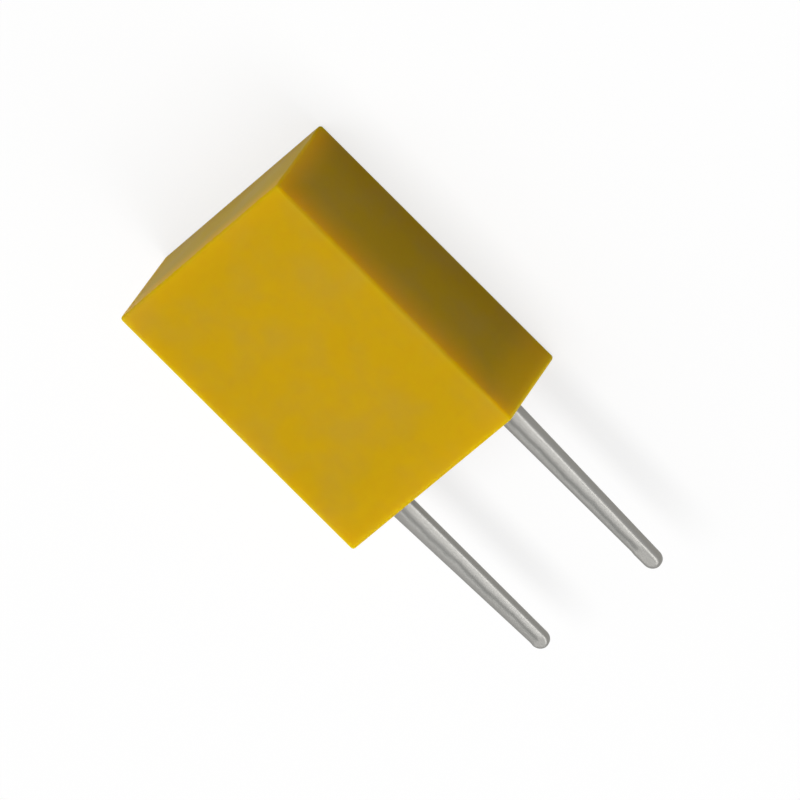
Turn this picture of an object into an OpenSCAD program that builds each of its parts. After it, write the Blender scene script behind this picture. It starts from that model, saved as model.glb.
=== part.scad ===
// Ceramic resonator with two leads, for a circuit board: a piezoelectric plate held between two
// stamped terminals in a moulded box case, closed by an inner lid and poured resin.
// Millimetres. X runs across the leads, +Y away from the board and +Z out of the front face.
// The part lies on its back face. The origin is the middle of the lead end, where a board meets it.

/* [Case] */
// Thickness of the case, from its back face to its front face
case_t = 3.5; // [3.2:0.1:4.5]
// Length of the case, from the lead end to the closed end
case_l = 9.1; // [8.6:0.1:12]
// Radius of the outer edges and corners
case_edge_r = 0.1; // [0.05:0.01:0.15]
// Side wall at the open end
rim_wall = 0.35; // [0.2:0.05:0.5]
// Width of the ledge inside the mouth, which carries the lid; the wall is thicker from there on
ledge_w = 0.15; // [0.1:0.01:0.2]
// Wall of the closed end
end_wall = 0.6; // [0.4:0.05:0.9]
// Radius of the cavity's long corners
cavity_r = 0.2; // [0.1:0.05:0.3]

/* [Lid and resin] */
// Thickness of the inner lid
lid_t = 0.5; // [0.3:0.05:0.7]
// Gap round the inner lid, and round each terminal in its slot
lid_gap = 0.05; // [0.02:0.01:0.1]
// Depth of the poured resin, at the walls
resin_depth = 1.0; // [0.6:0.05:1.2]
// How far the resin stays below the rim, at the walls
resin_recess = 0.12; // [0.05:0.01:0.3]
// How much deeper the resin's surface is at the middle than at the walls
resin_sag = 0.08; // [0.02:0.01:0.15]

/* [Leads] */
// Distance between the centres of the two leads, where they leave the case
lead_pitch = 5.0; // [4.6:0.05:7.5]
// Resin between the outer edge of each lead and the rim wall; it sets the width of the case
lead_margin = 0.28; // [0.24:0.01:0.6]
// Length of the left lead below the case
left_lead_l = 5.8; // [3:0.05:12]
// Length of the right lead below the case
right_lead_l = 6.0; // [3:0.05:12]
// Thickness of the terminal sheet
sheet_t = 0.25; // [0.2:0.01:0.3]
// Width of a lead where it leaves the resin
lead_root_w = 0.74; // [0.6:0.01:0.8]
// Width of a lead at its round tip; its inner edge runs straight and its outer edge tapers
lead_tip_w = 0.48; // [0.4:0.01:0.58]
// Radius of the coined edges of a lead
coin_r = 0.09; // [0.03:0.01:0.1]
// Distance between the middle planes of the two leads
lead_stagger = 0.25; // [0:0.01:0.4]
// How far in front of the middle of the case the inner assembly sits
assembly_lift = 0.1; // [-0.2:0.02:0.2]

/* [Contact plates] */
// Distance from the lid to the first bend of a terminal
neck_l = 0.15; // [0.05:0.05:0.3]
// Angle of the joggle between the lead and the contact plate
joggle_angle = 45; // [30:5:60]
// Bend radius of the joggle, at the middle of the sheet
bend_r = 0.3; // [0.2:0.02:0.4]
// How far a contact plate reaches past the middle of the ceramic plate
contact_reach = 2.2; // [1.6:0.1:2.4]
// Gap along the lead between the joggle and the edge of the ceramic plate
ceramic_gap = 0.1; // [0.05:0.05:0.3]
// Corner radius of a contact plate
contact_r = 0.4; // [0.2:0.05:0.8]
// Height of the pressed contact bump
bump_h = 0.35; // [0.25:0.01:0.45]
// Radius of the bump's flat end, which touches the electrode
bump_end_r = 0.3; // [0.2:0.05:0.45]
// Radius of the bump at the plate
bump_base_r = 0.75; // [0.6:0.05:1]

/* [Ceramic plate] */
// Side of the square ceramic plate
ceramic_side = 4.8; // [4.4:0.1:5.2]
// Thickness of the ceramic plate
ceramic_t = 0.4; // [0.3:0.02:0.5]
// Thickness of each silver electrode
electrode_t = 0.03; // [0.02:0.01:0.05]

/* [Hidden] */
$fn = 48;

// Extra length of a cut past the face that it opens
cut = 0.5;
// Steps of a round edge, and of a bend
edge_step = 30;
bend_step = 9;

// The case is as wide as the leads, the resin beside them and the rim walls need
case_w = lead_pitch + lead_root_w + 2 * (lead_margin + rim_wall);

// Places along Y, from the rim to the closed end
lid_y = resin_recess + resin_depth;
ledge_y = lid_y + lid_t;
cavity_end_y = case_l - end_wall;
joggle_y = ledge_y + neck_l;

// Where the leads leave the resin: its surface is lowest along the middle
root_y = resin_recess + resin_sag;

// The opening inside the rim, and the narrower cavity behind the ledge
mouth_w = case_w - 2 * rim_wall;
mouth_t = case_t - 2 * rim_wall;
cavity_w = mouth_w - 2 * ledge_w;
cavity_t = mouth_t - 2 * ledge_w;

// The lead's edges, on the right: the inner one is parallel to Y
lead_inner_x = (lead_pitch - lead_root_w) / 2;
lead_outer_x = lead_inner_x + lead_root_w;

// Middle planes of the lead and of the contact plate, in front of the assembly's own middle plane
lead_z = lead_stagger / 2;
contact_z = ceramic_t / 2 + electrode_t + bump_h + sheet_t / 2;

// The joggle: two arcs with a straight slope between them
joggle_rise = contact_z - lead_z;
slope_l = (joggle_rise - 2 * bend_r * (1 - cos(joggle_angle))) / sin(joggle_angle);
joggle_run = 2 * bend_r * sin(joggle_angle) + slope_l * cos(joggle_angle);

// The contact plate starts where the joggle ends; the bump presses on the ceramic plate's middle
contact_y = joggle_y + joggle_run;
centre_y = contact_y + ceramic_gap + ceramic_side / 2;
contact_end_y = centre_y + contact_reach;

// Radius of the resin's hollow surface, from its sag over the mouth's thickness
resin_dish_r = (pow(mouth_t / 2, 2) + pow(resin_sag, 2)) / (2 * resin_sag);

// ---- Shared shapes ----

// A rectangle with round corners, centred
module rounded_rectangle(w, h, r) {
    square([w - 2 * r, h], center = true);
    square([w, h - 2 * r], center = true);
    for (x = [-1, 1], y = [-1, 1])
        translate([x * (w / 2 - r), y * (h / 2 - r)]) circle(r);
}

// Stands an XZ outline up into a prism from y0 to y1
module along_y(y0, y1) {
    translate([0, y1, 0]) rotate([90, 0, 0]) linear_extrude(y1 - y0) children();
}

// Points of an arc about a centre, from one angle to another
function arc(centre, r, a0, a1) =
    [for (i = [0 : bend_step]) let (a = a0 + (a1 - a0) * i / bend_step)
        centre + r * [cos(a), sin(a)]];

// ---- Case ----

// The outer block: a prism with a round edge along each side, and a ball at each corner
module case_block() {
    edge_x = case_w / 2 - case_edge_r;
    edge_z = case_t / 2 - case_edge_r;
    ends = [case_edge_r, case_l - case_edge_r];
    along_y(ends[0], ends[1]) rounded_rectangle(case_w, case_t, case_edge_r);
    along_y(0, case_l) square([2 * edge_x, 2 * edge_z], center = true);
    for (y = ends) {
        for (z = [-edge_z, edge_z])
            translate([0, y, z]) rotate([0, 90, 0])
                cylinder(h = 2 * edge_x, r = case_edge_r, center = true);
        for (x = [-edge_x, edge_x])
            translate([x, y, 0]) cylinder(h = 2 * edge_z, r = case_edge_r, center = true);
        for (x = [-edge_x, edge_x], z = [-edge_z, edge_z])
            translate([x, y, z]) sphere(case_edge_r);
    }
}

// The moulded box: one end open, with a ledge inside the mouth for the lid
module case() {
    color("#c8a007") difference() {
        case_block();
        along_y(-cut, cavity_end_y) rounded_rectangle(cavity_w, cavity_t, cavity_r);
        along_y(-cut, ledge_y) rounded_rectangle(mouth_w, mouth_t, cavity_r);
    }
}

// ---- Lid and resin ----

// The two slots that the terminals pass through, each wider than the sheet by a gap
module terminal_slots(y0, y1, gap) {
    for (side = [-1, 1])
        along_y(y0, y1)
            translate([side * lead_pitch / 2, assembly_lift + side * lead_z])
                square([lead_root_w + 2 * gap, sheet_t + 2 * gap], center = true);
}

// The lid lies on the ledge and keeps the resin out of the cavity
module inner_lid() {
    color("#3a3a38") difference() {
        along_y(lid_y, ledge_y)
            rounded_rectangle(mouth_w - 2 * lid_gap, mouth_t - 2 * lid_gap, cavity_r);
        terminal_slots(lid_y - cut, ledge_y + cut, lid_gap);
    }
}

// The resin fills the mouth below the lid, and its surface is drawn in between the walls
module seal_resin() {
    color("#8a6a2c") difference() {
        along_y(resin_recess, lid_y) rounded_rectangle(mouth_w, mouth_t, cavity_r);
        translate([0, root_y - resin_dish_r, 0]) rotate([0, 90, 0])
            cylinder(h = case_w, r = resin_dish_r, center = true, $fn = 180);
        terminal_slots(0, lid_y + cut, 0);
    }
}

// ---- Terminals ----

// The lead outside the resin: it tapers to a round tip, and its edges are coined round.
// Each layer is the flat outline, drawn in as the round edge turns over.
module lead_blade(lead_l) {
    tip_r = lead_tip_w / 2;
    hull() for (a = [0 : edge_step : 90]) {
        inset = coin_r * (1 - cos(a));
        layer_t = sheet_t - 2 * coin_r * (1 - sin(a));
        linear_extrude(layer_t, center = true) {
            translate([lead_inner_x + inset, 0]) square([lead_root_w - 2 * inset, root_y]);
            translate([lead_inner_x + tip_r, tip_r - lead_l]) circle(tip_r - inset, $fn = 32);
        }
    }
}

// The sheet's side view: straight through resin and lid, a joggle, and straight behind the ceramic
module sheet_profile() {
    half = sheet_t / 2;
    low_bend = [joggle_y, lead_z + bend_r];
    high_bend = [contact_y, contact_z - bend_r];
    polygon(concat(
        [[root_y, lead_z - half]],
        arc(low_bend, bend_r + half, -90, joggle_angle - 90),
        arc(high_bend, bend_r - half, joggle_angle + 90, 90),
        [[contact_end_y, contact_z - half], [contact_end_y, contact_z + half]],
        arc(high_bend, bend_r + half, 90, joggle_angle + 90),
        arc(low_bend, bend_r - half, joggle_angle - 90, -90),
        [[root_y, lead_z + half]]));
}

// The sheet's front view: a neck in line with the lead, and a contact plate beside it
module sheet_outline() {
    plate_w = contact_reach + lead_outer_x;
    plate_l = contact_end_y - contact_y;
    translate([lead_inner_x, root_y]) square([lead_root_w, centre_y - root_y]);
    translate([lead_outer_x - plate_w / 2, contact_end_y - plate_l / 2])
        rounded_rectangle(plate_w, plate_l, contact_r);
}

// A cone between the plate and the ceramic, whose flat end is at height z
module bump_cone(z, end_r, base_r) {
    translate([0, centre_y, z]) cylinder(h = bump_h, r1 = end_r, r2 = base_r);
}

// One stamping: lead, neck, joggle and contact plate, with the bump pressed towards the ceramic.
// Drawn for the right lead, in front of the ceramic plate.
module stamped_terminal(lead_l) {
    bump_z = ceramic_t / 2 + electrode_t;
    translate([0, 0, lead_z]) lead_blade(lead_l);
    difference() {
        union() {
            intersection() {
                linear_extrude(2 * contact_z + sheet_t, center = true) sheet_outline();
                rotate([90, 0, 90]) linear_extrude(case_w, center = true) sheet_profile();
            }
            bump_cone(bump_z, bump_end_r, bump_base_r);
        }
        bump_cone(bump_z + sheet_t, bump_end_r - sheet_t / 2, bump_base_r - sheet_t / 2);
    }
}

// The same stamping turned over: its contact plate is behind the ceramic plate
module terminal_left() {
    color("#b4b2aa") translate([0, 0, assembly_lift]) rotate([0, 180, 0])
        stamped_terminal(left_lead_l);
}

module terminal_right() {
    color("#b4b2aa") translate([0, 0, assembly_lift]) stamped_terminal(right_lead_l);
}

// ---- Ceramic plate ----

// A square slab centred on the contact bumps, from height z0 to z1 above the assembly's mid-plane
module square_slab(z0, z1) {
    translate([0, centre_y, assembly_lift + (z0 + z1) / 2])
        cube([ceramic_side, ceramic_side, z1 - z0], center = true);
}

// The vibrating plate, clamped between the two bumps at its still centre
module ceramic_plate() {
    color("#6e6558") square_slab(-ceramic_t / 2, ceramic_t / 2);
}

// The silver layer under the right terminal's bump
module electrode_front() {
    color("#d8d6cf") square_slab(ceramic_t / 2, ceramic_t / 2 + electrode_t);
}

// The silver layer over the left terminal's bump
module electrode_back() {
    color("#d8d6cf") square_slab(-ceramic_t / 2 - electrode_t, -ceramic_t / 2);
}

case();
inner_lid();
seal_resin();
terminal_left();
terminal_right();
ceramic_plate();
electrode_front();
electrode_back();
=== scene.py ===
"""A ceramic resonator with two leads: the moulded case, the two stamped terminals, the poured
resin and the parts between the terminals, and the studio that they are shown in.

All lengths are in metres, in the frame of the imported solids: X runs across the leads, +Y away
from the board and +Z out of the front face. The part lies on its back face.
"""

import math
from types import SimpleNamespace

import bpy
import numpy as np
from mathutils import Matrix, Vector


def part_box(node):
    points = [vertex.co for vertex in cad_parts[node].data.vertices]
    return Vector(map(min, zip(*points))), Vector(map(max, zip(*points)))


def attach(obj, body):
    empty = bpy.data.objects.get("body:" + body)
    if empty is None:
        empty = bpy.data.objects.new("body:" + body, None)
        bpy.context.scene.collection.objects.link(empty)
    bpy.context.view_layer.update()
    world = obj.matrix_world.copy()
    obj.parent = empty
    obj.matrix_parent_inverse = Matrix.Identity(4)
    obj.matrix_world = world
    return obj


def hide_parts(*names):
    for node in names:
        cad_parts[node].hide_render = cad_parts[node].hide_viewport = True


bl_info = {
    "name": "Ceramic resonator",
    "version": (1, 0, 0),
    "blender": (4, 5, 0),
    "location": "3D View > Sidebar > Resonator",
    "description": "Builds a two-lead ceramic resonator and its studio",
    "category": "Object",
}

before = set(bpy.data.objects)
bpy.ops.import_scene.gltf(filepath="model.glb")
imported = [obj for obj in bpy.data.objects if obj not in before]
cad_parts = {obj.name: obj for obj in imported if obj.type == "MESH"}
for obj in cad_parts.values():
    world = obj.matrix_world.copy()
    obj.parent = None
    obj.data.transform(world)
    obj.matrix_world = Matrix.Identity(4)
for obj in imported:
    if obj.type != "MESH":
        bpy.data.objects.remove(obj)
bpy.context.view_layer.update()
MM = 0.001

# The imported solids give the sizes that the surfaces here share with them
CASE_LOW, CASE_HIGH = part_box("case")
LID_LOW, LID_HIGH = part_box("inner_lid")
RESIN_LOW, RESIN_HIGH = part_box("seal_resin")
LEFT_LOW, LEFT_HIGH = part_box("terminal_left")
RIGHT_LOW, RIGHT_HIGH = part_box("terminal_right")
CERAMIC_LOW, CERAMIC_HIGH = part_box("ceramic_plate")
MIDDLE_Y = (CERAMIC_LOW.y + CERAMIC_HIGH.y) / 2
MIDDLE_Z = (CERAMIC_LOW.z + CERAMIC_HIGH.z) / 2

# Sizes that more than one surface is made to
ROOT_WIDTH = 0.74 * MM
SHEET = 0.25 * MM
MOUTH_CORNER = 0.2 * MM
RESIN_SAG = 0.08 * MM
# The length over which a contact plate opens from its neck
PLATE_EASE = 0.06 * MM
# Closer to a face than this is on it
TOUCH = 0.0001 * MM
# Edges that turn by more than this stay sharp
SHARP_TURN = math.radians(42)


# ---- Sizes and colours ----

def linear(code):
    """A colour written as sRGB hex, as the linear red, green and blue that shaders use."""
    srgb = np.array([int(code[i:i + 2], 16) for i in (1, 3, 5)]) / 255
    return tuple(np.where(srgb <= 0.04045, srgb / 12.92, ((srgb + 0.055) / 1.055) ** 2.4))


def length(name, description, default):
    return bpy.props.FloatProperty(
        name=name, description=description, default=default, min=0.0,
        subtype="DISTANCE", unit="LENGTH", precision=6)


def colour(name, description, code):
    return bpy.props.FloatVectorProperty(
        name=name, description=description, default=linear(code),
        size=3, min=0.0, max=1.0, subtype="COLOR")


def angle(name, description, degrees):
    return bpy.props.FloatProperty(
        name=name, description=description, default=math.radians(degrees),
        subtype="ANGLE", unit="ROTATION")


def level(name, description, default):
    return bpy.props.FloatProperty(name=name, description=description, default=default, min=0.0)


class CaseSettings(bpy.types.PropertyGroup):
    edge_radius: length("Edge radius", "Radius of the outer edges and corners", 0.1 * MM)
    lip_radius: length("Lip radius", "Radius of the mouth's inner edge", 0.03 * MM)
    corner_radius: length("Inner corner radius", "Radius of the mouth's corners", MOUTH_CORNER)
    ledge_width: length("Ledge width", "Width of the ledge that carries the lid", 0.15 * MM)
    end_wall: length("End wall", "Wall of the closed end", 0.6 * MM)
    sink: length("Sink", "How far the middle of each broad face is drawn in", 0.012 * MM)
    shade: colour("Plastic", "Colour of the moulded plastic", "#cba300")
    pale_shade: colour("Flow marks", "Paler colour where the plastic flowed last", "#c6a01c")
    # Painted light: a lighter colour standing in for light that scatters through the thin walls
    painted_glow_shade: colour("Solid parts", "Colour where solid plastic or resin is behind the wall",
                         "#f0b600")


class TerminalSettings(bpy.types.PropertyGroup):
    root_width: length("Root width", "Width of a lead at the case", ROOT_WIDTH)
    tip_width: length("Tip width", "Width of a lead at its round tip", 0.5 * MM)
    thickness: length("Thickness", "Thickness of the sheet", SHEET)
    coin_radius: length("Rolled edge", "Radius of a lead's edges on the punch's side", 0.09 * MM)
    burr_radius: length("Burr edge", "Radius of a lead's edges on the other side", 0.04 * MM)
    shear_radius: length("Sheared edge", "Radius of the edges inside the case", 0.02 * MM)
    neck: length("Neck", "Distance from the lid to the first bend", 0.15 * MM)
    bend_radius: length("Bend radius", "Bend radius at the middle of the sheet", 0.3 * MM)
    bump_height: length("Bump height", "Height of the contact bump", 0.35 * MM)
    bump_end: length("Bump end", "Radius of the flat end of the bump", 0.3 * MM)
    bump_base: length("Bump base", "Radius of the bump at the plate", 0.75 * MM)
    plate_corner: length("Plate corner", "Corner radius of a contact plate", 0.4 * MM)
    coat: length("Edge coat", "Thickness of the solder on a dipped lead's edges", 0.045 * MM)
    face_coat: length("Face coat", "Thickness of the solder on a dipped lead's faces", 0.02 * MM)
    crown: length("Crown", "How much lower a lead's front is at its edges than between them",
                  0.03 * MM)
    groove_depth: length("Groove depth", "Depth of the groove along a lead", 0.009 * MM)
    groove_width: length("Groove half-width", "Half the width of that groove", 0.09 * MM)
    joggle_angle: angle("Joggle angle", "Slope of the sheet between lead and contact plate", 45)
    shade: colour("Tin", "Colour of the tinned faces", "#8c8b88")
    # Partly flux in the groove, partly painted shade of the groove's darker reflection
    groove_flux_and_shade: colour("Groove", "Colour of the flux left in the groove", "#757572")
    edge_shade: colour("Thin tin", "Colour of the thinly tinned edges", "#8d8b85")


class ResinSettings(bpy.types.PropertyGroup):
    climb: length("Climb", "How far the resin climbs at the leads and walls", 0.09 * MM)
    reach: length("Climb reach", "Distance over which the climb dies away", 0.16 * MM)
    shade: colour("Resin", "Colour of the cast resin", "#704512")
    dark_shade: colour("Deep resin", "Colour where the resin is deepest", "#4a2b0b")


class InnerSettings(bpy.types.PropertyGroup):
    lid_shade: colour("Lid", "Colour of the inner lid", "#3a3a38")
    fibre_shade: colour("Lid fibres", "Darker colour of the lid's fibres", "#2c2b29")
    ceramic_shade: colour("Ceramic", "Colour of the fired plate", "#75695a")
    grain_shade: colour("Ceramic grains", "Darker colour between the plate's grains", "#5d5347")
    silver_shade: colour("Silver", "Colour of the fired silver film", "#dedbd2")
    mottle_shade: colour("Silver mottle", "Darker colour of the film's mottle", "#c9c5ba")


class StudioSettings(bpy.types.PropertyGroup):
    distance: length("Camera distance", "From the camera to what it is aimed at", 395.163 * MM)
    azimuth: angle("Camera azimuth", "Turn of the camera round the part", 102.132)
    elevation: angle("Camera elevation", "Height of the camera over the floor", 52.963)
    roll: angle("Camera roll", "Turn of the camera about its line of sight", -144.869)
    lens: bpy.props.FloatProperty(
        name="Lens", description="Focal length of the camera on a 36 mm wide sensor",
        default=648.14, min=1.0, unit="CAMERA")
    softbox_level: level("Softbox", "Radiance of the softbox, where 1 is white", 2.95)
    room_level: level("Room", "Radiance of the room on the light side", 1.3)
    shaded_share: level("Shaded share", "How much of the room's light is left furthest out on "
                        "the light side", 0.15)
    dark_level: level("Dark side", "Radiance of the room on the side away from the light", 0.04)
    below_level: level("Below", "Radiance of the room below the floor", 0.3)
    floor_shade: colour("Floor", "Colour of the floor card", "#c5c5c5")
    shadow_shade: colour("Shadow depth", "How much of the floor's light its shadows take away",
                         "#888888")
    floor_lift: level("Floor lift", "Glow of the floor to rays that look at it", 0.75)


# ---- Meshes ----

def make_piece(name, points, faces, node, material):
    """A closed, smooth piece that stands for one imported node.

    The faces are turned round if the volume under them, the sum of each triangle's corners'
    triple product over six, comes out negative.
    """
    quads = np.asarray(faces)
    a, b, c, d = (points[quads[:, i]] for i in range(4))
    volume = (np.cross(a, b) * c).sum() + (np.cross(a, c) * d).sum()
    if volume < 0:
        quads = quads[:, ::-1]
    # A quad with two corners at one point becomes a triangle
    polygons = [list(dict.fromkeys(quad)) for quad in quads.tolist()]
    mesh = bpy.data.meshes.new(name)
    mesh.from_pydata(points.tolist(), [], polygons)
    if mesh.validate():
        raise RuntimeError(f"{name} has faces that Blender had to mend")
    mesh.shade_smooth()
    mesh.set_sharp_from_angle(angle=SHARP_TURN)
    mesh.materials.append(material)
    piece = bpy.data.objects.new(name, mesh)
    bpy.context.scene.collection.objects.link(piece)
    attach(piece, "root")
    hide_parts(node)
    return piece


def add_shares(piece, shares):
    """Gives each point of a piece its values of the named shares, for its material to read."""
    for name, values in shares.items():
        attribute = piece.data.attributes.new(name, "FLOAT", "POINT")
        attribute.data.foreach_set("value", values)


def ring_faces(count, around):
    """Quads between neighbouring rings of a grid that is closed round each ring."""
    ring, step = np.meshgrid(np.arange(count - 1), np.arange(around), indexing="ij")
    following = (step + 1) % around
    return np.stack([ring * around + step, ring * around + following,
                     (ring + 1) * around + following, (ring + 1) * around + step],
                    axis=-1).reshape(-1, 4)


def close_with_centres(rings):
    """Points and faces of a stack of rings whose first and last ring close on their centres."""
    count, around = rings.shape[:2]
    points = np.vstack([rings.reshape(-1, 3), rings[0].mean(axis=0), rings[-1].mean(axis=0)])
    step = np.arange(around)
    following = (step + 1) % around
    first = np.full(around, count * around)
    last_ring = (count - 1) * around
    start = np.stack([following, step, first, first], axis=-1)
    end = np.stack([last_ring + step, last_ring + following, first + 1, first + 1], axis=-1)
    return points, np.vstack([ring_faces(count, around), start, end])


def rounded_rectangle_steps(long_steps, short_steps, corner_steps):
    """One walk round a rounded rectangle: which corner of the core each point belongs to, from
    -1 to 1 in X and in Z, and the direction in which the radius carries it outwards."""
    core_x, core_z, turn = [], [], []
    corners = [(1, 1), (-1, 1), (-1, -1), (1, -1)]
    for i, (x, z) in enumerate(corners):
        sweep = np.linspace(0, 90, corner_steps + 1) + 90 * i
        core_x.append(np.full(sweep.size, x))
        core_z.append(np.full(sweep.size, z))
        turn.append(sweep)
        next_x, next_z = corners[(i + 1) % 4]
        steps = long_steps if z == next_z else short_steps
        # Closer together near the corners
        share = (1 - np.cos(np.linspace(0, np.pi, steps + 1)[1:-1])) / 2
        core_x.append(x + (next_x - x) * share)
        core_z.append(z + (next_z - z) * share)
        turn.append(np.full(share.size, 90 * (i + 1)))
    return (np.concatenate(core_x), np.concatenate(core_z),
            np.radians(np.concatenate(turn).astype(float)))


def rounded_rectangle_rings(sections, long_steps=36, short_steps=18, corner_steps=8):
    """Rings in planes across Y, one for each row (core half-width, core half-height, radius,
    y): a point is its corner of the core plus the radius in its direction."""
    core_x, core_z, turn = rounded_rectangle_steps(long_steps, short_steps, corner_steps)
    half_w, half_t, radius, y = (column[:, None] for column in np.asarray(sections).T)
    return np.stack([core_x * half_w + np.cos(turn) * radius,
                     np.broadcast_to(y, (len(sections), core_x.size)),
                     core_z * half_t + np.sin(turn) * radius], axis=-1)


def smooth_step(value):
    """0 below 0, 1 above 1, and 3 t^2 - 2 t^3 between."""
    t = np.clip(value, 0, 1)
    return t * t * (3 - 2 * t)


# ---- Case ----

def case_surface(settings):
    """The moulded box as one skin of rounded-rectangle rings.

    It runs from the middle of the closed end over the round edge, down the sides, round the
    rim, in at the mouth, over the ledge and down the cavity to the middle of its floor. Each
    broad outer face is drawn in by sink * cos * cos of its two directions.
    """
    edge, lip, corner = settings.edge_radius, settings.lip_radius, settings.corner_radius
    half_w, half_t, end_y = CASE_HIGH.x, CASE_HIGH.z, CASE_HIGH.y
    ledge_y, floor_y = LID_HIGH.y, end_y - settings.end_wall
    # A core is a half-size less its corner radius
    core_w, core_t = half_w - edge, half_t - edge
    inner_w, inner_t = RESIN_HIGH.x - corner, RESIN_HIGH.z - corner
    cavity_w, cavity_t = inner_w - settings.ledge_width, inner_t - settings.ledge_width
    nick = 0.02 * MM
    floor_r = 0.15 * MM
    # The outer edges' arcs stop short of the flat ends, whose rings would have no radius
    start = math.radians(4)
    quarter = math.pi / 2

    closed_end = [(core_w * s, core_t * s, edge * math.sin(start) * s, end_y)
                  for s in (0.05, 0.2, 0.35, 0.5, 0.65, 0.8, 0.9, 0.96, 0.99)]
    end_edge = [(core_w, core_t, edge * math.sin(a), end_y - edge * (1 - math.cos(a)))
                for a in np.linspace(start, quarter, 11)]
    side_share = (1 - np.cos(np.linspace(0, np.pi, 40)[1:-1])) / 2
    sides = [(core_w, core_t, edge, y)
             for y in end_y - edge + (2 * edge - end_y) * side_share]
    rim_edge = [(core_w, core_t, edge * math.cos(a), edge * (1 - math.sin(a)))
                for a in np.linspace(0, quarter - start, 10)]
    outer = closed_end + end_edge + sides + rim_edge
    rim = [(core_w + (inner_w - core_w) * s, core_t + (inner_t - core_t) * s,
            (corner + lip) * s, 0.0) for s in (0.1, 0.5, 0.9)]
    mouth_edge = [(inner_w, inner_t, corner + lip * (1 - math.sin(a)), lip * (1 - math.cos(a)))
                  for a in np.linspace(0, quarter, 5)]
    mouth = [(inner_w, inner_t, corner, y)
             for y in (0.06 * MM, 0.3 * MM, 0.9 * MM, 1.3 * MM, ledge_y - nick)]
    ledge = [(inner_w, inner_t, corner, ledge_y),
             (inner_w - nick, inner_t - nick, corner, ledge_y),
             (cavity_w + nick, cavity_t + nick, corner, ledge_y),
             (cavity_w, cavity_t, corner, ledge_y + nick)]
    cavity = [(cavity_w, cavity_t, corner, y)
              for y in np.linspace(ledge_y + 0.5 * MM, floor_y - floor_r, 6)]
    floor_edge = [(cavity_w - floor_r * (1 - math.cos(a)), cavity_t - floor_r * (1 - math.cos(a)),
                   corner, floor_y - floor_r * (1 - math.sin(a)))
                  for a in np.linspace(0.3, quarter, 5)]
    floor = [(cavity_w * s, cavity_t * s, corner * s, floor_y) for s in (0.8, 0.5, 0.2, 0.05)]
    rings = rounded_rectangle_rings(outer + rim + mouth_edge + mouth + ledge + cavity
                                    + floor_edge + floor)

    x, y, z = rings[..., 0], rings[..., 1], rings[..., 2]
    along = np.cos(np.clip((y - end_y / 2) / end_y, -0.5, 0.5) * np.pi)
    across = np.cos(np.clip(x / half_w / 2, -0.5, 0.5) * np.pi)
    upward = np.cos(np.clip(z / half_t / 2, -0.5, 0.5) * np.pi)
    sink = settings.sink * (np.arange(len(rings)) < len(outer))[:, None]
    broad = np.abs(z) > half_t - TOUCH
    flank = np.abs(x) > half_w - TOUCH
    rings[..., 2] -= np.sign(z) * sink * along * across * broad
    rings[..., 0] -= np.sign(x) * sink * along * upward * flank
    points, faces = close_with_centres(rings)
    return points, faces, {"painted_glow": painted_glow_share(*points.T)}


def painted_glow_share(x, y, z):
    """How much painted light each point of the case takes, in place of light scattered through
    it.

    It is the greatest of three eased falls: within 1 mm of the closed end, over 1.3 mm about
    the lid, where the resin ends, and down to 1.4 mm behind the front face, whose wall counts
    for less. The first two count for little on the broad faces, and the last not at all there.
    """
    flank = smooth_step((np.abs(x) - CASE_HIGH.x) / (0.1 * MM) + 1)
    closed_end = 0.8 * smooth_step((y - CASE_HIGH.y) / (1.0 * MM) + 1)
    resin_end = smooth_step((LID_LOW.y + 0.6 * MM - y) / (1.3 * MM))
    depth = CASE_HIGH.z - z
    off_front = smooth_step(depth / (0.1 * MM))
    front_wall = 0.6 * smooth_step((1.4 * MM - depth) / (1.2 * MM)) * off_front
    return np.maximum(np.maximum(closed_end, resin_end) * (0.15 + 0.85 * flank), front_wall)


# ---- Terminals ----

# How the two stampings differ
LEADS = {
    "left": {"low": LEFT_LOW, "high": LEFT_HIGH, "front_side": -1, "groove_place": 0.54,
             "pad_length": 0.25 * MM, "splay": (0.02 * MM, 0.02 * MM)},
    "right": {"low": RIGHT_LOW, "high": RIGHT_HIGH, "front_side": 1, "groove_place": 0.4,
              "pad_length": 0.7 * MM, "splay": (-0.01 * MM, 0.03 * MM)},
}


def terminal_plan(settings, low, high):
    """The places that the parts of a stamping share, as it lies with its lead on the +X side
    and the middle of the ceramic plate at z = 0.

    The joggle's straight slope is as long as its rise still needs after the two bends.
    """
    lead_z = settings.thickness / 2
    contact_z = max(abs(high.z - MIDDLE_Z), abs(low.z - MIDDLE_Z)) - lead_z
    inner_x = max(abs(low.x), high.x) - settings.root_width
    bend, slant = settings.bend_radius, settings.joggle_angle
    slope = (contact_z - lead_z - 2 * bend * (1 - math.cos(slant))) / math.sin(slant)
    joggle_y = LID_HIGH.y + settings.neck
    return SimpleNamespace(
        lead_z=lead_z, contact_z=contact_z,
        inner_x=inner_x, reach=min(abs(low.x), high.x),
        tip_x=inner_x + settings.tip_width / 2, tip_y=low.y,
        tip_r=settings.tip_width / 2 + settings.coat,
        root_y=RESIN_LOW.y + RESIN_SAG, joggle_y=joggle_y,
        contact_y=joggle_y + 2 * bend * math.sin(slant) + slope * math.cos(slant),
        end_y=high.y)


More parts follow.
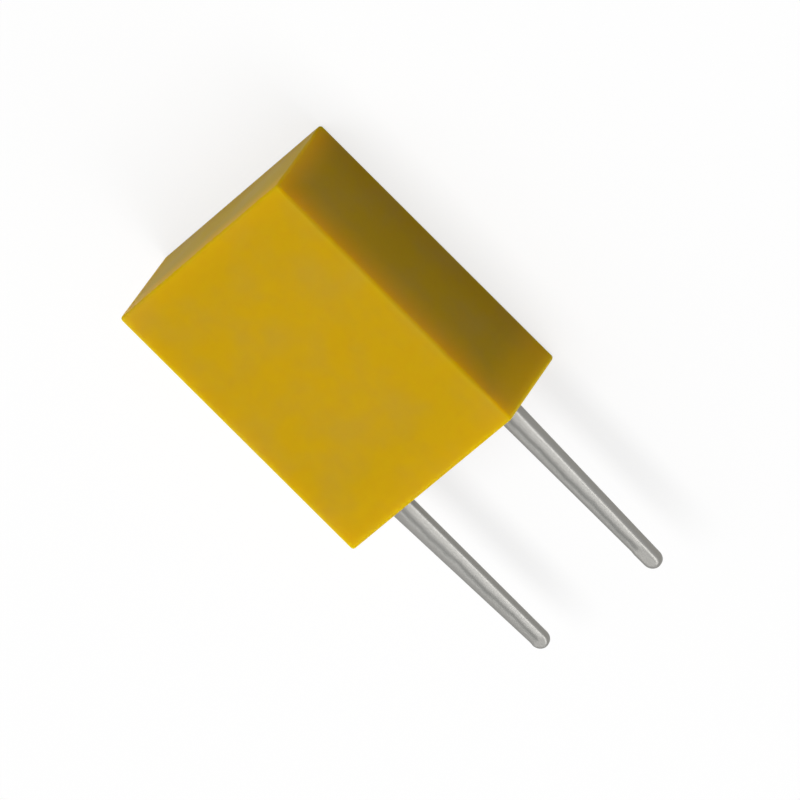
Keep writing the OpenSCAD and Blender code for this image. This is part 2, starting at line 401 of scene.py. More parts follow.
def terminal_line(settings, plan):
    """The middle line of a stamping: y, z and the slope at each station, closer together where
    the outline turns and the bump rises.

    It is straight from the round tip through the resin and the lid, an arc up, a straight
    slope, an arc back, and straight behind the ceramic plate.
    """
    tip = np.radians(np.linspace(87, 0, 15))
    flat = np.concatenate([
        plan.tip_y + plan.tip_r * (1 - np.sin(tip)),
        np.linspace(plan.tip_y + plan.tip_r, plan.root_y, 110)[1:],
        np.linspace(plan.root_y, plan.joggle_y, 8)[1:-1]])

    bend = settings.bend_radius
    turn = np.linspace(0, settings.joggle_angle, 9)
    up = np.stack([plan.joggle_y + bend * np.sin(turn),
                   plan.lead_z + bend * (1 - np.cos(turn)), turn])
    turn = turn[::-1]
    back = np.stack([plan.contact_y - bend * np.sin(turn),
                     plan.contact_z - bend * (1 - np.cos(turn)), turn])

    corner, bump, margin = settings.plate_corner, settings.bump_base, 0.1 * MM
    corner_in = corner * (1 - np.cos(np.linspace(0, np.pi / 2, 10)))
    edge_in = settings.shear_radius * (1 - np.cos(np.linspace(0, np.pi / 2, 6)))
    plate = np.unique(np.concatenate([
        plan.contact_y + PLATE_EASE * np.linspace(0.05, 1, 10),
        plan.contact_y + PLATE_EASE + corner_in,
        np.linspace(plan.contact_y + PLATE_EASE + corner, MIDDLE_Y - bump - margin, 6),
        MIDDLE_Y + bump * np.linspace(-1.1, 1.1, 45),
        np.linspace(MIDDLE_Y + bump + margin, plan.end_y - corner, 5),
        plan.end_y - corner_in[::-1],
        plan.end_y - edge_in[::-1]]).round(9))
    plate = np.append(plate[plate < plan.end_y - 1e-9], plan.end_y)
    return np.hstack([
        [flat, np.full(flat.size, plan.lead_z), np.zeros(flat.size)], up, back,
        [plate, np.full(plate.size, plan.contact_z), np.zeros(plate.size)]])


def solder_share(y):
    """How much solder covers the sheet: 1 along the lead, and none from 0.7 mm inside."""
    return smooth_step((0.7 * MM - y) / (0.4 * MM))


def terminal_edges(settings, plan, y):
    """Where the sheet's two edges are at each station, and how far round the tip it is, from 0
    on the straight lead to 1.

    The lead tapers in a straight line from the case to its tip, whose end is a half circle.
    The contact plate opens from the neck over a short ease, and its corners are arcs.
    """
    coat = settings.coat * solder_share(y)
    tip_end_y = plan.tip_y + plan.tip_r
    taper = np.clip(1 - y / tip_end_y, 0, 1)
    right = (plan.inner_x + settings.tip_width + coat
             + (settings.root_width - settings.tip_width) * taper)
    left = plan.inner_x - coat
    round_off = np.clip((tip_end_y - y) / plan.tip_r, 0, 1)
    shrink = plan.tip_r * (1 - np.sqrt(1 - round_off ** 2))
    left, right = left + shrink, right - shrink

    corner = settings.plate_corner
    opened = smooth_step((y - plan.contact_y) / PLATE_EASE)
    first_corner = np.clip(1 - (y - plan.contact_y - PLATE_EASE) / corner, 0, 1)
    # Just short of 1, where the arc meets the end square on
    last_corner = np.clip(1 - (plan.end_y - y) / corner, 0, 0.9999)
    drawn_in = corner * (1 - np.sqrt(1 - first_corner ** 2))
    drawn_in_last = corner * (1 - np.sqrt(1 - last_corner ** 2))
    on_plate = y > plan.contact_y
    left = np.where(on_plate,
                    left + (-plan.reach + drawn_in + drawn_in_last - left) * opened, left)
    right = np.where(on_plate, right - drawn_in_last, right)
    return left, right, round_off


def terminal_columns(plan, left, right, round_off, coin):
    """The x of the points across each station: eight close together over the rolled edge at
    each side, and the rest spread between them.

    Round the tip, the rolled edge is as wide as the ring between two circles is there. It
    takes at most 0.3 of the sheet's width.
    """
    inner_circle = np.sqrt(np.clip((plan.tip_r - coin) ** 2 - (plan.tip_r * round_off) ** 2,
                                   0, None))
    ring = plan.tip_r * np.sqrt(1 - round_off ** 2) - inner_circle
    edge = np.where(round_off > 0, ring, coin)
    edge = np.minimum(edge, 0.3 * (right - left))[:, None]
    left, right = left[:, None], right[:, None]
    bend_in = 1 - np.cos(np.linspace(0, np.pi / 2, 9))[:-1]
    return np.hstack([left + edge * bend_in,
                      left + edge + (right - left - 2 * edge) * np.linspace(0, 1, 58),
                      right - edge * bend_in[::-1]])


def terminal_surface(settings, low, high, front_side, groove_place, pad_length, splay):
    """One stamping as a sheet whose half-thickness is a function of the distance from its edge.

    At each station along the middle line the sheet runs across X from its inner to its outer
    edge. Its half-thickness is h - r + sqrt(r^2 - (r - e)^2), where e is the distance from the
    edge and r the radius of the edge: large on the coined lead, where the punch rolls one
    side's edges more than the other's, and small inside the case. The bump moves both faces
    towards the ceramic plate. front_side is the side of the stamping that is in front on the
    part, which is crowned and grooved. splay is how far outwards the lead stands at the case
    and at its tip.
    """
    plan = terminal_plan(settings, low, high)
    line_y, line_z, tilt = terminal_line(settings, plan)
    left, right, round_off = terminal_edges(settings, plan, line_y)
    dipped = solder_share(line_y)
    sheared = smooth_step((line_y - plan.root_y) / (0.4 * MM))
    coin, burr = (settings.coat * dipped + radius + (settings.shear_radius - radius) * sheared
                  for radius in (settings.coin_radius, settings.burr_radius))
    x = terminal_columns(plan, left, right, round_off, coin)
    y = np.broadcast_to(line_y[:, None], x.shape)

    # Distance from the edge, the sheet's half-thickness there, and the relief on its front
    from_sides = np.minimum(x - left[:, None], right[:, None] - x)
    from_tip = plan.tip_r - np.hypot(x - plan.tip_x, y - plan.tip_y - plan.tip_r)
    inside = np.where(y < plan.tip_y + plan.tip_r, from_tip, from_sides)
    inside = np.minimum(inside, plan.end_y - y)
    half_height = (settings.thickness / 2 + settings.face_coat * dipped)[:, None]
    outward = {}
    for face, radius in ((1, coin[:, None]), (-1, burr[:, None])):
        within = radius - np.clip(inside, 0, radius)
        outward[face] = half_height - radius + np.sqrt(radius ** 2 - within ** 2)
    relief, groove = lead_relief(settings, x, y, left, right, plan.tip_y, groove_place,
                                 pad_length)
    outward[front_side] = outward[front_side] - relief
    press = bump_press(settings, np.hypot(x, y - MIDDLE_Y))

    down = np.sin(tilt)[:, None]
    up = np.cos(tilt)[:, None]
    stand = np.interp(line_y, [plan.tip_y, 0.0], splay[::-1]) * dipped
    faces = []
    for face in (1, -1):
        offset = face * outward[face] - press
        faces.append(np.stack([x + stand[:, None],
                               line_y[:, None] - down * offset,
                               line_z[:, None] + up * offset], axis=-1))
    rings = np.concatenate([faces[0], faces[1][:, ::-1]], axis=1)

    # The rings close on flat strips at the tip and at the end
    count, around = rings.shape[:2]
    columns = np.arange(around // 2 - 1)
    strip = np.stack([columns, columns + 1, around - 2 - columns, around - 1 - columns], axis=-1)
    quads = np.vstack([ring_faces(count, around), strip[:, ::-1],
                       strip + (count - 1) * around])
    # The left stamping is the right one turned over about Y
    side = 1 if high.x > abs(low.x) else -1
    points = rings.reshape(-1, 3) * [side, 1, side] + [0, 0, MIDDLE_Z]
    thin = 1 - np.clip(inside / coin[:, None], 0, 1)
    in_groove = {front_side: groove, -front_side: np.zeros_like(groove)}
    shares = {"thin_tin": np.hstack([thin, thin[:, ::-1]]).ravel(),
              "groove": np.hstack([in_groove[1], in_groove[-1][:, ::-1]]).ravel()}
    return points, quads, shares


def lead_relief(settings, x, y, left, right, tip_y, groove_place, pad_length):
    """How much lower than flat a lead's front is.

    The face is crowned by crown * (2 s - 1)^2, where s is the share of the lead's width. A
    groove with a bell-shaped section runs along it at one share, wandering by three sines of
    different lengths. Both end at the flat pad that the coining tool leaves at the tip, and a
    little way inside the case.
    """
    width = (right - left)[:, None]
    share = (x - left[:, None]) / np.maximum(width, 1e-9)
    from_pad, from_inside = y - tip_y - pad_length, 0.5 * MM - y
    wander = (0.018 * np.sin(y / (0.31 * MM)) + 0.012 * np.sin(y / (0.113 * MM) + 1.0)
              + 0.006 * np.sin(y / (0.047 * MM)))
    groove = np.exp(-((share - groove_place - wander) * width / settings.groove_width) ** 2)
    clear = smooth_step(np.minimum(share, 1 - share) * width / (0.05 * MM))
    on_lead = smooth_step(from_pad / (0.12 * MM)) * smooth_step(from_inside / (0.3 * MM))
    relief = settings.crown * (2 * share - 1) ** 2 + settings.groove_depth * groove * clear
    return relief * on_lead, groove * clear * on_lead


def bump_press(settings, radius):
    """How far the sheet is pressed towards the ceramic plate: the bump's height out to its end
    radius, falling in a straight cone to nothing at its base, eased at both ends."""
    share = np.clip((settings.bump_base - radius)
                    / (settings.bump_base - settings.bump_end), 0, 1)
    return settings.bump_height * (0.75 * share + 0.25 * smooth_step(share))


# ---- Resin ----

def resin_surface(settings):
    """The poured resin: rings that grow from the middle of its open surface to the walls, then
    run down to the lid.

    The open surface is lowest in the middle and climbs by climb * exp(-distance / reach) at
    the walls, and again round each lead, with a reach half as long. A ripple of two sines
    lies over it.
    """
    half_w, half_t, floor_y = RESIN_HIGH.x, RESIN_HIGH.z, RESIN_HIGH.y
    core_w, core_t = half_w - MOUTH_CORNER, half_t - MOUTH_CORNER
    lowest = RESIN_LOW.y + RESIN_SAG
    highest = 0.05 * MM
    shares = np.concatenate([np.linspace(0.01, 0.9, 64), np.linspace(0.91, 1.0, 14)])
    sections = [(core_w * s, core_t * s, MOUTH_CORNER * s, lowest) for s in shares]
    sections += [(core_w, core_t, MOUTH_CORNER, y)
                 for y in (0.3 * MM, 0.5 * MM, floor_y - 0.03 * MM)]
    sections += [(core_w * s, core_t * s, MOUTH_CORNER * s, floor_y)
                 for s in (0.995, 0.8, 0.4, 0.05)]
    rings = rounded_rectangle_rings(sections, long_steps=120, short_steps=48)

    x, z = rings[:shares.size, :, 0], rings[:shares.size, :, 2]
    wall = np.minimum(half_w - np.abs(x), half_t - np.abs(z))
    surface = settings.climb * np.exp(-wall / (1.4 * settings.reach))
    # Round a lead, the distance is from a core that is a little smaller than its section
    core_x, core_z = ROOT_WIDTH / 2 - 0.03 * MM, SHEET / 2 - 0.025 * MM
    for side, low, high in ((-1, LEFT_LOW, LEFT_HIGH), (1, RIGHT_LOW, RIGHT_HIGH)):
        lead_x = side * (max(abs(low.x), high.x) - ROOT_WIDTH / 2)
        lead_z = MIDDLE_Z + side * SHEET / 2
        out_x = np.clip(np.abs(x - lead_x) - core_x, 0, None)
        out_z = np.clip(np.abs(z - lead_z) - core_z, 0, None)
        surface += settings.climb * np.exp(-np.hypot(out_x, out_z) / (0.7 * settings.reach))
    ripple = 0.006 * MM * np.sin(x / (0.52 * MM) + 0.7) * np.cos(z / (0.41 * MM))
    rings[:shares.size, :, 1] = np.maximum(lowest - surface + ripple, highest)
    return close_with_centres(rings)


# ---- Materials ----

# A Mix node's sockets share their names, so its colours and its values are taken by number
SHARE, FIRST, SECOND, MIXED = 0, 6, 7, 2
FIRST_VALUE, SECOND_VALUE = 2, 3


def add_node(tree, kind, inputs=None, **settings):
    """Adds one node: settings are its own properties, and inputs give a socket a value, or the
    output that feeds it."""
    node = tree.nodes.new("ShaderNode" + kind)
    for name, value in settings.items():
        setattr(node, name, value)
    for name, value in (inputs or {}).items():
        if isinstance(value, bpy.types.NodeSocket):
            tree.links.new(value, node.inputs[name])
        else:
            node.inputs[name].default_value = value
    return node


def new_material(name):
    """An empty material, its node tree and its Object coordinates."""
    material = bpy.data.materials.new(name)
    material.use_nodes = True
    tree = material.node_tree
    tree.nodes.clear()
    place = add_node(tree, "TexCoord").outputs["Object"]
    return material, tree, place


def opaque(rgb):
    """A colour as a shader socket takes it, with full alpha."""
    return (*rgb, 1.0)


def moulded_polyester(settings):
    """Glass-filled polyester, injection moulded in a spark-eroded tool: an even, strong colour
    with faint paler clouds where the plastic flowed, and a fine grain that breaks up gloss."""
    material, tree, place = new_material("moulded_polyester")
    # Flow clouds about 1.6 mm across
    clouds = add_node(tree, "TexNoise", {"Vector": place, "Scale": 1 / (1.6 * MM),
                                         "Detail": 3.0, "Roughness": 0.55})
    cloud_share = add_node(tree, "MapRange", {"Value": clouds.outputs[0], "From Min": 0.42,
                                              "From Max": 0.68})
    clouded = add_node(tree, "Mix", {SHARE: cloud_share.outputs[0], FIRST: opaque(settings.shade),
                                     SECOND: opaque(settings.pale_shade)}, data_type="RGBA")
    # Painted light: the walls are drawn lighter where light would scatter through them from the
    # closed end, the resin and the lit front face, and the thin side walls most
    painted_glow = add_node(tree, "Attribute", attribute_name="painted_glow")
    shade = add_node(tree, "Mix", {SHARE: painted_glow.outputs["Fac"], FIRST: clouded.outputs[MIXED],
                                   SECOND: opaque(settings.painted_glow_shade)}, data_type="RGBA")
    # Erosion grain is about 0.03 mm; it is drawn at 0.07 mm, which is as fine as shows
    grain = add_node(tree, "TexNoise", {"Vector": place, "Scale": 1 / (0.07 * MM),
                                        "Detail": 2.0, "Roughness": 0.5})
    gloss = add_node(tree, "MapRange", {"Value": clouds.outputs[0], "From Min": 0.3,
                                        "From Max": 0.7, "To Min": 0.58, "To Max": 0.5})
    relief = add_node(tree, "Bump", {"Height": grain.outputs[0], "Strength": 0.35,
                                     "Distance": 0.006 * MM})
    surface = add_node(tree, "BsdfPrincipled", {
        "Base Color": shade.outputs[MIXED], "Roughness": gloss.outputs[0],
        "Specular IOR Level": 0.06, "Normal": relief.outputs[0],
        "Subsurface Weight": 1.0, "Subsurface Radius": (0.9, 0.8, 0.3),
        "Subsurface Scale": 1.0 * MM})
    add_node(tree, "OutputMaterial", {"Surface": surface.outputs[0]})
    return material


def tinned_sheet(settings):
    """Copper alloy sheet, stamped, coined and tinned: a soft grey shine with streaks along the
    lead, a dull grain in the tin, and warmer edges where the tin is thin."""
    material, tree, place = new_material("tinned_sheet")
    # Streaks 0.05 mm wide and about 1 mm long
    stretched = add_node(tree, "Mapping", {"Vector": place, "Scale": (
        1 / (0.05 * MM), 1 / (1.1 * MM), 1 / (0.08 * MM))})
    streaks = add_node(tree, "TexNoise", {"Vector": stretched.outputs[0], "Scale": 1.0,
                                          "Detail": 3.0, "Roughness": 0.6})
    grain = add_node(tree, "TexNoise", {"Vector": place, "Scale": 1 / (0.06 * MM),
                                        "Detail": 2.0})
    edge = add_node(tree, "Attribute", attribute_name="thin_tin")
    edge_share = add_node(tree, "MapRange", {"Value": edge.outputs["Fac"], "From Min": 0.6,
                                             "From Max": 0.98, "To Max": 0.9})
    streak_share = add_node(tree, "MapRange", {"Value": streaks.outputs[0], "From Min": 0.35,
                                               "From Max": 0.7, "To Min": 0.0, "To Max": 0.35})
    dull = add_node(tree, "Math", {0: edge_share.outputs[0], 1: streak_share.outputs[0]},
                    operation="MAXIMUM")
    tinned = add_node(tree, "Mix", {SHARE: dull.outputs[0], FIRST: opaque(settings.shade),
                                    SECOND: opaque(settings.edge_shade)}, data_type="RGBA")
    # Darker along the groove: partly flux, partly painted shade of the groove's reflection
    groove = add_node(tree, "Attribute", attribute_name="groove")
    broken = add_node(tree, "MapRange", {"Value": streaks.outputs[0], "From Min": 0.3,
                                         "From Max": 0.6, "To Min": 0.55})
    flux_and_shade = add_node(tree, "Math", {0: groove.outputs["Fac"], 1: broken.outputs[0]},
                       operation="MULTIPLY")
    shade = add_node(tree, "Mix", {SHARE: flux_and_shade.outputs[0], FIRST: tinned.outputs[MIXED],
                                   SECOND: opaque(settings.groove_flux_and_shade)}, data_type="RGBA")
    gloss = add_node(tree, "MapRange", {"Value": grain.outputs[0], "From Min": 0.3,
                                        "From Max": 0.7, "To Min": 0.36, "To Max": 0.46})
    mixed = add_node(tree, "Math", {0: streaks.outputs[0], 1: grain.outputs[0]},
                     operation="ADD")
    relief = add_node(tree, "Bump", {"Height": mixed.outputs[0], "Strength": 0.4,
                                     "Distance": 0.006 * MM})
    surface = add_node(tree, "BsdfPrincipled", {
        "Base Color": shade.outputs[MIXED], "Metallic": 1.0, "Roughness": gloss.outputs[0],
        "Normal": relief.outputs[0]})
    add_node(tree, "OutputMaterial", {"Surface": surface.outputs[0]})
    return material


def cast_epoxy(settings):
    """Epoxy resin, poured and cured: a smooth amber skin, darker where it is deep, with the
    pinholes of small bubbles."""
    material, tree, place = new_material("cast_epoxy")
    depth = add_node(tree, "TexNoise", {"Vector": place, "Scale": 1 / (1.1 * MM),
                                        "Detail": 4.0})
    shade = add_node(tree, "Mix", {SHARE: depth.outputs[0], FIRST: opaque(settings.dark_shade),
                                   SECOND: opaque(settings.shade)}, data_type="RGBA")
    # Bubbles 0.1 mm across, a little under one to a square millimetre
    bubbles = add_node(tree, "TexVoronoi", {"Vector": place, "Scale": 1 / (0.55 * MM)})
    pinhole = add_node(tree, "MapRange", {"Value": bubbles.outputs["Distance"],
                                          "From Min": 0.06, "From Max": 0.12})
    relief = add_node(tree, "Bump", {"Height": pinhole.outputs[0], "Strength": 0.5,
                                     "Distance": 0.02 * MM})
    surface = add_node(tree, "BsdfPrincipled", {
        "Base Color": shade.outputs[MIXED], "Roughness": 0.22, "IOR": 1.55,
        "Normal": relief.outputs[0]})
    add_node(tree, "OutputMaterial", {"Surface": surface.outputs[0]})
    return material


def punched_laminate(settings):
    """Phenolic laminate, punched from sheet: dark and dull, with a faint weave of fibres."""
    material, tree, place = new_material("punched_laminate")
    fibres = add_node(tree, "Mapping", {"Vector": place, "Scale": (
        1 / (0.5 * MM), 1 / (0.05 * MM), 1 / (0.08 * MM))})
    weave = add_node(tree, "TexNoise", {"Vector": fibres.outputs[0], "Scale": 1.0,
                                        "Detail": 3.0})
    shade = add_node(tree, "Mix", {SHARE: weave.outputs[0], FIRST: opaque(settings.fibre_shade),
                                   SECOND: opaque(settings.lid_shade)}, data_type="RGBA")
    relief = add_node(tree, "Bump", {"Height": weave.outputs[0], "Strength": 0.4,
                                     "Distance": 0.008 * MM})
    surface = add_node(tree, "BsdfPrincipled", {
        "Base Color": shade.outputs[MIXED], "Roughness": 0.6, "Normal": relief.outputs[0]})
    add_node(tree, "OutputMaterial", {"Surface": surface.outputs[0]})
    return material


def fired_ceramic(settings):
    """Lead zirconate titanate, pressed, fired and lapped: a dense, dull grey-brown with fine
    grains."""
    material, tree, place = new_material("fired_ceramic")
    grains = add_node(tree, "TexVoronoi", {"Vector": place, "Scale": 1 / (0.06 * MM)})
    shade = add_node(tree, "Mix", {SHARE: grains.outputs["Distance"],
                                   FIRST: opaque(settings.ceramic_shade),
                                   SECOND: opaque(settings.grain_shade)}, data_type="RGBA")
    relief = add_node(tree, "Bump", {"Height": grains.outputs["Distance"], "Strength": 0.3,
                                     "Distance": 0.004 * MM})
    surface = add_node(tree, "BsdfPrincipled", {
        "Base Color": shade.outputs[MIXED], "Roughness": 0.55, "Normal": relief.outputs[0]})
    add_node(tree, "OutputMaterial", {"Surface": surface.outputs[0]})
    return material


def fired_silver(settings):
    """Silver paste, screen printed and fired: a matt off-white metal with the paste's mottle."""
    material, tree, place = new_material("fired_silver")
    mottle = add_node(tree, "TexNoise", {"Vector": place, "Scale": 1 / (0.15 * MM),
                                         "Detail": 3.0})
    shade = add_node(tree, "Mix", {SHARE: mottle.outputs[0], FIRST: opaque(settings.mottle_shade),
                                   SECOND: opaque(settings.silver_shade)}, data_type="RGBA")
    relief = add_node(tree, "Bump", {"Height": mottle.outputs[0], "Strength": 0.3,
                                     "Distance": 0.004 * MM})
    surface = add_node(tree, "BsdfPrincipled", {
        "Base Color": shade.outputs[MIXED], "Metallic": 1.0, "Roughness": 0.5,
        "Normal": relief.outputs[0]})
    add_node(tree, "OutputMaterial", {"Surface": surface.outputs[0]})
    return material


def seen_ray(tree):
    """1 for rays that look at the scene, straight or in metal or glass, and 0 for rays that
    gather light."""
    rays = add_node(tree, "LightPath")
    seen = add_node(tree, "Math", {0: rays.outputs["Is Camera Ray"],
                                   1: rays.outputs["Is Glossy Ray"]}, operation="MAXIMUM")
    return add_node(tree, "Math", {0: seen.outputs[0],
                                   1: rays.outputs["Is Transmission Ray"]},
                    operation="MAXIMUM").outputs[0]


def floor_card(settings):
    """Matt grey card, which lights the part evenly. Rays that look at it see it paler, because
    it glows to them, and its shadows fainter. It is only there from above, so that the part's
    back can be looked at from below."""
    material, tree, _ = new_material("matt_floor_card")
    seen = seen_ray(tree)
    lift = add_node(tree, "Math", {0: seen, 1: settings.floor_lift},
                    operation="MULTIPLY")
    glow = add_node(tree, "Emission", {"Strength": lift.outputs[0]})
    pale = add_node(tree, "Mix", {SHARE: seen, FIRST: opaque(settings.floor_shade),
                                  SECOND: opaque(settings.shadow_shade)}, data_type="RGBA")
    card = add_node(tree, "BsdfDiffuse", {"Color": pale.outputs[MIXED]})
    lit = add_node(tree, "AddShader", {0: card.outputs[0], 1: glow.outputs[0]})
    clear = add_node(tree, "BsdfTransparent")
    side = add_node(tree, "NewGeometry")
    surface = add_node(tree, "MixShader", {
        0: side.outputs["Backfacing"], 1: lit.outputs[0], 2: clear.outputs[0]})
    add_node(tree, "OutputMaterial", {"Surface": surface.outputs[0]})
    return material


# ---- Studio ----

CAMERA_TARGET = Vector((0.0235, 2.1099, 0.0)) * MM
# In millimetres, as a camera takes it
SENSOR_WIDTH = 36.0
FLOOR_RADIUS = 1.2
# The softbox hangs almost overhead, on the left, and lies along the part
SOFTBOX_TARGET = Vector((0, -0.3, 0))
SOFTBOX_AZIMUTH = math.radians(270)
SOFTBOX_ELEVATION = math.radians(80)
SOFTBOX_DISTANCE = 0.8
SOFTBOX_SIZE = (1.4, 0.46)
# The way towards the light side of the room
LIGHT_SIDE = (-0.85, -0.53, 0.0)


def floor_surface(radius, z, count=12, around=96):
    """A round sheet: rings of growing radius about the origin, and a fan at its middle."""
    turn = np.linspace(0, 2 * np.pi, around + 1)[:-1]
    radii = radius * np.linspace(0.05, 1, count)[:, None]
    x, y = radii * np.cos(turn), radii * np.sin(turn)
    rings = np.stack([x, y, np.full(x.shape, z)], axis=-1)
    points = np.vstack([rings.reshape(-1, 3), [[0, 0, z]]])
    step = np.arange(around)
    fan = np.stack([np.full(around, len(points) - 1), step, (step + 1) % around], axis=-1)
    return points, ring_faces(count, around)[:, ::-1].tolist() + fan.tolist()


def aim(origin, azimuth, elevation, distance, roll=0.0):
    """The place and turn of a lamp or camera that stands off from origin, at an azimuth and an
    elevation, and looks at it, rolled about its line of sight."""
    back = Vector((math.sin(azimuth) * math.cos(elevation),
                   -math.cos(azimuth) * math.cos(elevation), math.sin(elevation)))
    turn = (-back).to_track_quat("-Z", "Y").to_matrix() @ Matrix.Rotation(roll, 3, "Z")
    return Matrix.Translation(origin + back * distance) @ turn.to_4x4()


def add_softbox(radiance):
    """An oblong lamp of even radiance: its power is radiance * pi * area."""
    lamp = bpy.data.lights.new("softbox", "AREA")
    lamp.shape = "RECTANGLE"
    lamp.size, lamp.size_y = SOFTBOX_SIZE
    lamp.energy = radiance * math.pi * math.prod(SOFTBOX_SIZE)
    box = bpy.data.objects.new("softbox", lamp)
    box.matrix_world = aim(SOFTBOX_TARGET, SOFTBOX_AZIMUTH, SOFTBOX_ELEVATION, SOFTBOX_DISTANCE)
    box.visible_camera = False
    bpy.context.scene.collection.objects.link(box)


def room_world(settings):
    """The room: lighter on one side than on the other, though shaded furthest out on that
    side, darker towards the ceiling, and even below the floor. It is white to the eye."""
    world = bpy.data.worlds.new("room")
    world.use_nodes = True
    tree = world.node_tree
    tree.nodes.clear()
    direction = add_node(tree, "TexCoord").outputs["Generated"]
    toward = add_node(tree, "SeparateXYZ", {0: direction})
    side = add_node(tree, "VectorMath", {0: direction, 1: LIGHT_SIDE},
                    operation="DOT_PRODUCT")
    room = add_node(tree, "MapRange", {
        "Value": side.outputs["Value"], "From Min": -0.5, "From Max": 0.5,
        "To Min": settings.dark_level, "To Max": settings.room_level})
    shaded = add_node(tree, "MapRange", {
        "Value": side.outputs["Value"], "From Min": 0.35, "From Max": 0.85,
        "To Min": 1.0, "To Max": settings.shaded_share}, interpolation_type="SMOOTHSTEP")
    upward = add_node(tree, "MapRange", {
        "Value": toward.outputs["Z"], "From Min": 0.1, "From Max": 0.8,
        "To Min": 1.4, "To Max": 0.7})
    shaped = add_node(tree, "Math", {0: shaded.outputs[0], 1: upward.outputs[0]},
                      operation="MULTIPLY")
    above = add_node(tree, "Math", {0: room.outputs[0], 1: shaped.outputs[0]},
                     operation="MULTIPLY")
    is_above = add_node(tree, "Math", {0: toward.outputs["Z"], 1: 0.0},
                        operation="GREATER_THAN")
    lit = add_node(tree, "Mix", {SHARE: is_above.outputs[0], FIRST_VALUE: settings.below_level,
                                 SECOND_VALUE: above.outputs[0]}, data_type="FLOAT")
    strength = add_node(tree, "Mix", {SHARE: seen_ray(tree), FIRST_VALUE: lit.outputs[0],
                                      SECOND_VALUE: 1.0}, data_type="FLOAT")
    light = add_node(tree, "Background", {"Color": opaque((1.0, 1.0, 1.0)),
                                          "Strength": strength.outputs[0]})
    add_node(tree, "OutputWorld", {"Surface": light.outputs[0]})
    return world


# ---- Operators ----

class RESONATOR_OT_mould_case(bpy.types.Operator):
    """Moulds the case: one skin with a round closed end, a rim, a ledge and a cavity"""
    bl_idname = "resonator.mould_case"
    bl_label = "Mould the case"

    def execute(self, context):
        settings = context.scene.resonator_case
        points, faces, shares = case_surface(settings)
        case = make_piece("moulded_case", points, faces, "case",
                          moulded_polyester(settings))
        add_shares(case, shares)
        return {"FINISHED"}


class RESONATOR_OT_stamp_terminals(bpy.types.Operator):
    """Stamps, coins and joggles the two terminals"""
    bl_idname = "resonator.stamp_terminals"
    bl_label = "Stamp the terminals"

    def execute(self, context):
        settings = context.scene.resonator_terminals
        material = tinned_sheet(settings)
        for name, lead in LEADS.items():
            points, faces, shares = terminal_surface(settings, **lead)
            piece = make_piece("stamped_terminal_" + name, points, faces,
                               "terminal_" + name, material)
            add_shares(piece, shares)
        return {"FINISHED"}


class RESONATOR_OT_pour_resin(bpy.types.Operator):
    """Pours the resin that seals the mouth of the case"""
    bl_idname = "resonator.pour_resin"
    bl_label = "Pour the resin"

    def execute(self, context):
        settings = context.scene.resonator_resin
        points, faces = resin_surface(settings)
        make_piece("poured_resin", points, faces, "seal_resin", cast_epoxy(settings))
        return {"FINISHED"}


class RESONATOR_OT_finish_inner_parts(bpy.types.Operator):
    """Gives the lid, the ceramic plate and its electrodes their finishes"""
    bl_idname = "resonator.finish_inner_parts"
    bl_label = "Finish the inner parts"

    def execute(self, context):
        settings = context.scene.resonator_inner
        silver = fired_silver(settings)
        finishes = {"inner_lid": punched_laminate(settings),
                    "ceramic_plate": fired_ceramic(settings),
                    "electrode_front": silver, "electrode_back": silver}
        for node, material in finishes.items():
            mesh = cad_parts[node].data
            mesh.materials.clear()
            mesh.materials.append(material)
        return {"FINISHED"}


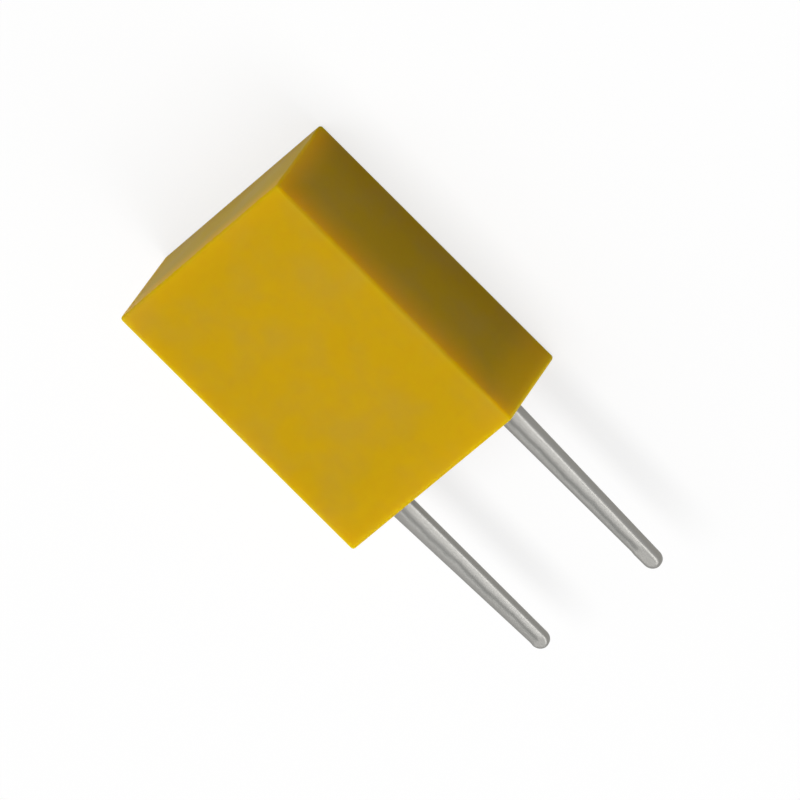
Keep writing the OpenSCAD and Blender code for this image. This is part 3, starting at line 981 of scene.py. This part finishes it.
class RESONATOR_OT_set_up_studio(bpy.types.Operator):
    """Lays the floor and sets the softbox, the room and the camera"""
    bl_idname = "resonator.set_up_studio"
    bl_label = "Set up the studio"

    def execute(self, context):
        scene, settings = context.scene, context.scene.resonator_studio
        # The card lies a hair over the part's back face, which then stays clear from below
        over = context.scene.resonator_case.sink + 0.006 * MM
        points, faces = floor_surface(FLOOR_RADIUS, CASE_LOW.z + over)
        mesh = bpy.data.meshes.new("floor_card")
        mesh.from_pydata(points.tolist(), [], faces)
        mesh.materials.append(floor_card(settings))
        floor = bpy.data.objects.new("floor_card", mesh)
        scene.collection.objects.link(floor)

        add_softbox(settings.softbox_level)
        scene.world = room_world(settings)

        lens = bpy.data.cameras.new("camera")
        lens.sensor_width = SENSOR_WIDTH
        lens.lens = settings.lens
        lens.clip_start, lens.clip_end = 0.01, 5.0
        camera = bpy.data.objects.new("camera", lens)
        camera.matrix_world = aim(CAMERA_TARGET, settings.azimuth, settings.elevation,
                                  settings.distance, settings.roll)
        scene.collection.objects.link(camera)
        scene.camera = camera
        scene.view_settings.view_transform = "Standard"
        return {"FINISHED"}


class RESONATOR_PT_panel(bpy.types.Panel):
    """Lists the steps that build the resonator and its studio"""
    bl_label = "Ceramic resonator"
    bl_idname = "RESONATOR_PT_panel"
    bl_space_type = "VIEW_3D"
    bl_region_type = "UI"
    bl_category = "Resonator"

    def draw(self, context):
        for operator in OPERATORS:
            self.layout.operator(operator.bl_idname)
        for name, group in SETTINGS.items():
            box = self.layout.box()
            box.label(text=name.replace("resonator_", "").capitalize())
            for prop in group.__annotations__:
                box.prop(getattr(context.scene, name), prop)


SETTINGS = {
    "resonator_case": CaseSettings,
    "resonator_terminals": TerminalSettings,
    "resonator_resin": ResinSettings,
    "resonator_inner": InnerSettings,
    "resonator_studio": StudioSettings,
}
OPERATORS = [
    RESONATOR_OT_mould_case,
    RESONATOR_OT_stamp_terminals,
    RESONATOR_OT_pour_resin,
    RESONATOR_OT_finish_inner_parts,
    RESONATOR_OT_set_up_studio,
]


def register():
    for kind in [*SETTINGS.values(), *OPERATORS, RESONATOR_PT_panel]:
        bpy.utils.register_class(kind)
    for name, group in SETTINGS.items():
        setattr(bpy.types.Scene, name, bpy.props.PointerProperty(type=group))


def unregister():
    for name in SETTINGS:
        delattr(bpy.types.Scene, name)
    for kind in reversed([*SETTINGS.values(), *OPERATORS, RESONATOR_PT_panel]):
        bpy.utils.unregister_class(kind)


def main():
    """Builds every piece and the studio."""
    register()
    bpy.ops.resonator.mould_case()
    bpy.ops.resonator.stamp_terminals()
    bpy.ops.resonator.pour_resin()
    bpy.ops.resonator.finish_inner_parts()
    bpy.ops.resonator.set_up_studio()


if __name__ == "__main__":
    main()
